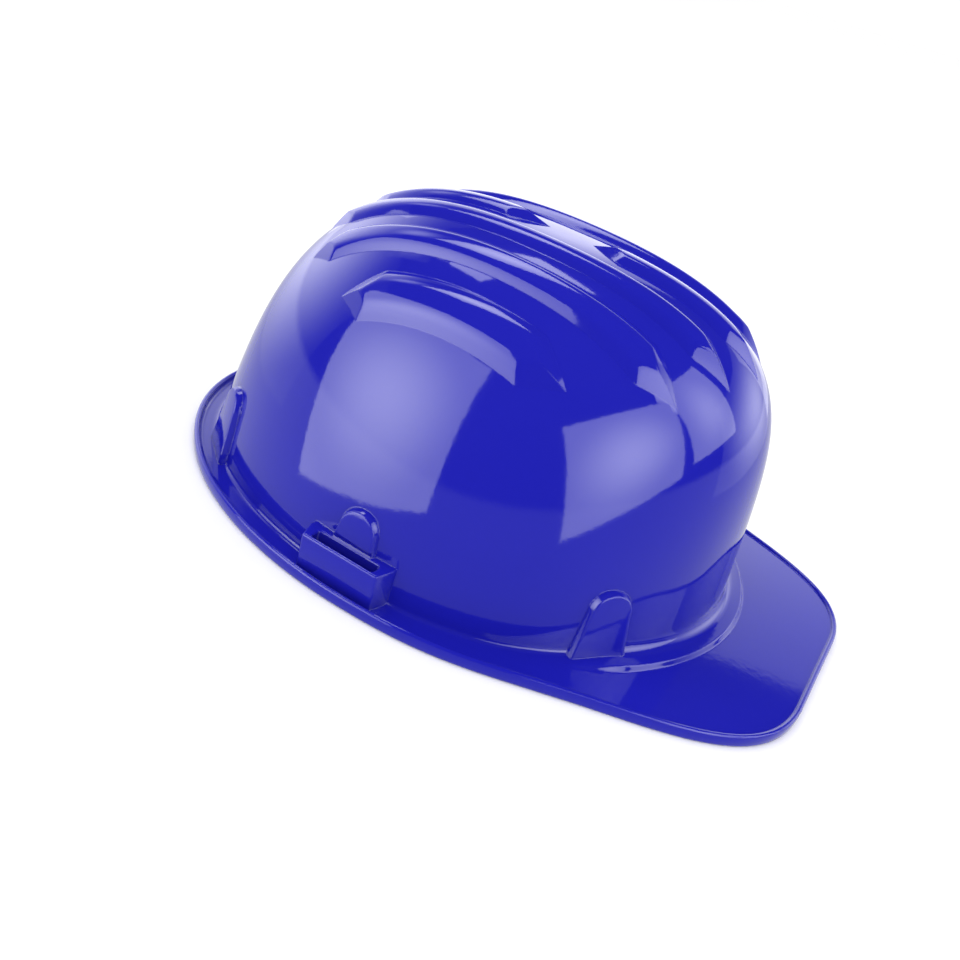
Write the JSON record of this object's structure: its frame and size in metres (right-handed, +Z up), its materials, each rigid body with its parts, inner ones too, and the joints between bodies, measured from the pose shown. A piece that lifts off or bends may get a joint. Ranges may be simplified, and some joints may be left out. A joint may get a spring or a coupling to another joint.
{
  "type": "hard hat",
  "caption": "Industrial hard hat with a ribbed crown, gutter brim, flat front peak, side accessory slots, webbing harness and a swing-down ratchet nape adjuster.",
  "frame": {"origin": "middle of the rim's length and width, on the plane the rim rests on", "axes": "+Z up towards the crown; the peak points to -Y; +X is the wearer's left"},
  "size_m": [0.2116, 0.288, 0.1246],
  "materials": {
    "shell_blue": "high gloss moulded polyethylene, ultramarine blue",
    "harness_plastic": "satin moulded, black",
    "key_plastic": "satin moulded, natural white",
    "webbing": "woven polyester webbing, dark grey",
    "sweatband": "perforated foam-backed leatherette, black",
    "nape_pad": "padded knit over foam, black",
    "ratchet_plastic": "fine moulded texture, black",
    "rack_plastic": "satin acetal, white",
    "gear_plastic": "satin acetal, white",
    "rivet_plastic": "satin moulded, black",
    "steel": "zinc plated steel"
  },
  "bodies": {
    "root": {"shell": "shell_blue", "headband": "harness_plastic", "sweatband": "sweatband", "crown_strap_side": "webbing", "crown_strap_diagonal_a": "webbing", "crown_strap_diagonal_b": "webbing", "pivot_rivet_left": "rivet_plastic", "pivot_rivet_right": "rivet_plastic", "key_front_left": "key_plastic", "key_front_right": "key_plastic", "key_side_left": "key_plastic", "key_side_right": "key_plastic", "key_rear_left": "key_plastic", "key_rear_right": "key_plastic"},
    "nape_cradle": {"nape_arm_left": "harness_plastic", "nape_arm_right": "harness_plastic", "arm_rivets": "rivet_plastic", "ratchet_base": "ratchet_plastic", "ratchet_cover": "ratchet_plastic", "cover_screws": "steel", "nape_pad": "nape_pad"},
    "adjuster_knob": {"knob": "ratchet_plastic", "pinion": "gear_plastic", "knob_screw": "steel", "detent_spring": "gear_plastic"},
    "rack_left": {"rack_left": "rack_plastic"},
    "rack_right": {"rack_right": "rack_plastic"}
  },
  "joints": [
    {"name": "nape_fold", "type": "hinge", "parent": "root", "child": "nape_cradle", "pos_m": [0, 0.024, 0.02], "axis": [-1, 0, 0], "range_deg": [0, 38]},
    {"name": "knob_turn", "type": "hinge", "parent": "nape_cradle", "child": "adjuster_knob", "pos_m": [0, 0.1084, 0.02], "axis": [0, 1, 0], "range_deg": [-105, 105]},
    {"name": "rack_left_slide", "type": "slide", "parent": "nape_cradle", "child": "rack_left", "axis": [1, 0, 0], "range_m": [-0.0095, 0.0095]},
    {"name": "rack_right_slide", "type": "slide", "parent": "nape_cradle", "child": "rack_right", "axis": [1, 0, 0], "range_m": [-0.0095, 0.0095]}
  ],
  "couplings": [
    {"joint": "rack_left_slide", "follows": "knob_turn", "m_per_rad": 0.005},
    {"joint": "rack_right_slide", "follows": "knob_turn", "m_per_rad": -0.005}
  ]
}
